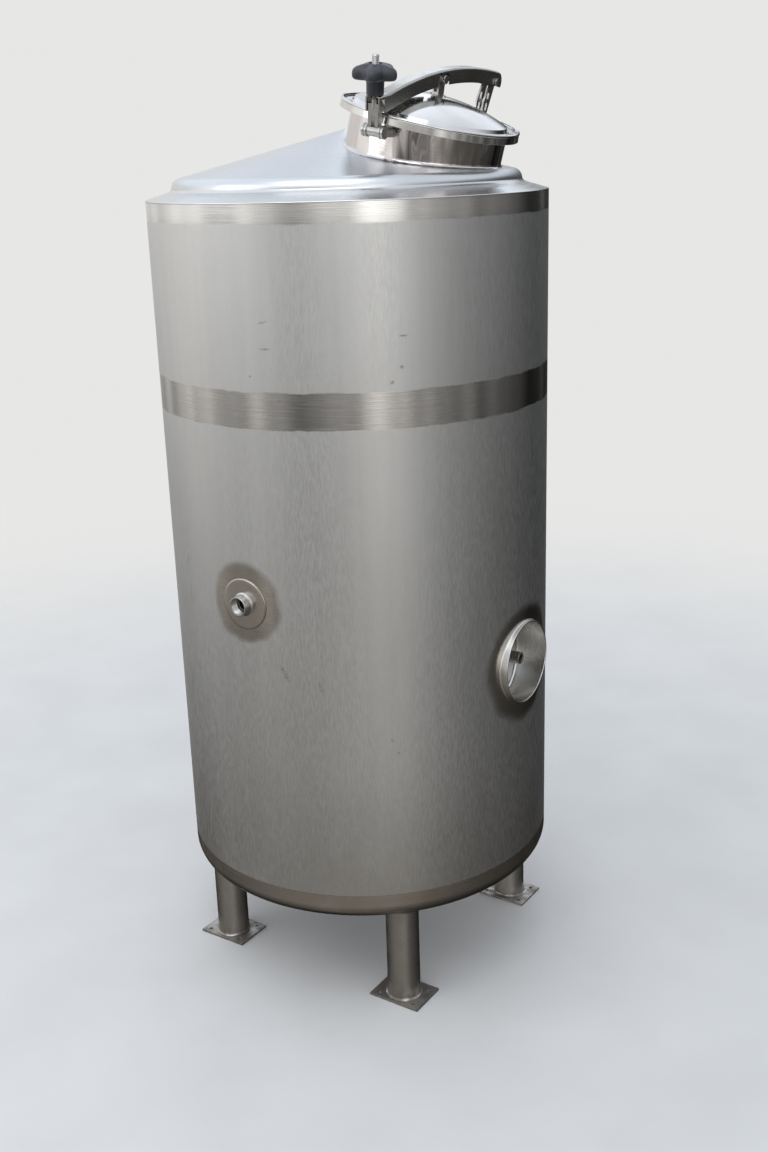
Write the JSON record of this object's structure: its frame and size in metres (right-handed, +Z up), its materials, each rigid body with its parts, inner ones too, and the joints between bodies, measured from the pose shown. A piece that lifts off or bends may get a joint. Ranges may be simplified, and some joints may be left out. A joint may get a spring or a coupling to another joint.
{
  "type": "vertical storage tank",
  "caption": "Upright jacketed steel storage tank on tube legs, with a shallow cone top, an inclined clamped manway, a threaded socket, a recessed port and a bottom outlet.",
  "frame": {"origin": "on the ground, on the upright axis of the round tank", "axes": "+Z up along the tank's axis; -Y points out of the threaded socket; +X points out of the recessed port and toward the low side of the manway"},
  "size_m": [0.807, 0.8215, 1.8827],
  "materials": {
    "brushed_jacket": "satin brushed, scuffed",
    "vessel_steel": "mill finish",
    "polished_steel": "polished",
    "plate_steel": "plain, scuffed",
    "fitting_steel": "cast and turned",
    "gasket_rubber": "matt, white",
    "black_plastic": "fine grain"
  },
  "bodies": {
    "tank": {"jacket_upper_1": "brushed_jacket", "jacket_upper_2": "brushed_jacket", "jacket_upper_3": "brushed_jacket", "jacket_upper_4": "brushed_jacket", "jacket_upper_5": "brushed_jacket", "jacket_upper_6": "brushed_jacket", "jacket_upper_7": "brushed_jacket", "jacket_upper_8": "brushed_jacket", "jacket_lower_1": "brushed_jacket", "jacket_lower_2": "brushed_jacket", "jacket_lower_3": "brushed_jacket", "jacket_lower_4": "brushed_jacket", "jacket_lower_5": "brushed_jacket", "jacket_lower_6": "brushed_jacket", "jacket_lower_7": "brushed_jacket", "jacket_lower_8": "brushed_jacket", "jacket_bottom": "polished_steel", "ledge_ring": "polished_steel", "vessel_top_1": "polished_steel", "vessel_top_2": "polished_steel", "vessel_top_3": "polished_steel", "vessel_top_4": "polished_steel", "vessel_shoulder": "polished_steel", "vessel_wall_1": "vessel_steel", "vessel_wall_2": "vessel_steel", "vessel_wall_3": "vessel_steel", "vessel_wall_4": "vessel_steel", "vessel_wall_5": "vessel_steel", "vessel_wall_6": "vessel_steel", "vessel_wall_7": "vessel_steel", "vessel_wall_8": "vessel_steel", "vessel_bottom": "vessel_steel", "bottom_outlet": "polished_steel", "socket_pad": "polished_steel", "socket": "fitting_steel", "recess_sleeve": "polished_steel", "recess_nozzle": "fitting_steel", "leg_1": "polished_steel", "leg_2": "polished_steel", "leg_3": "polished_steel", "leg_4": "polished_steel", "foot_plate_1": "plate_steel", "foot_plate_2": "plate_steel", "foot_plate_3": "plate_steel", "foot_plate_4": "plate_steel", "manway_neck": "polished_steel", "hinge_lugs": "fitting_steel", "hinge_pin": "fitting_steel", "bolt_lugs": "fitting_steel"},
    "lid": {"lid": "polished_steel", "lid_gasket": "gasket_rubber", "lid_arm": "polished_steel", "lid_bracket": "fitting_steel", "bracket_pin": "fitting_steel"},
    "bolt": {"swing_bolt": "fitting_steel"},
    "knob": {"star_knob": "black_plastic"}
  },
  "joints": [
    {"name": "lid_hinge", "type": "hinge", "parent": "tank", "child": "lid", "pos_m": [0.20979, 0.208, 1.84657], "axis": [-0.9848, 0, 0.1736], "range_deg": [0, 115]},
    {"name": "swing_bolt", "type": "hinge", "parent": "lid", "child": "bolt", "pos_m": [0.19364, -0.185, 1.75499], "axis": [-0.9848, 0, 0.1736], "range_deg": [-85, 0]},
    {"name": "knob_turn", "type": "hinge", "parent": "bolt", "child": "knob", "pos_m": [0.2043, -0.19582, 1.81541], "axis": [0.171, -0.1736, 0.9698], "continuous": true}
  ]
}
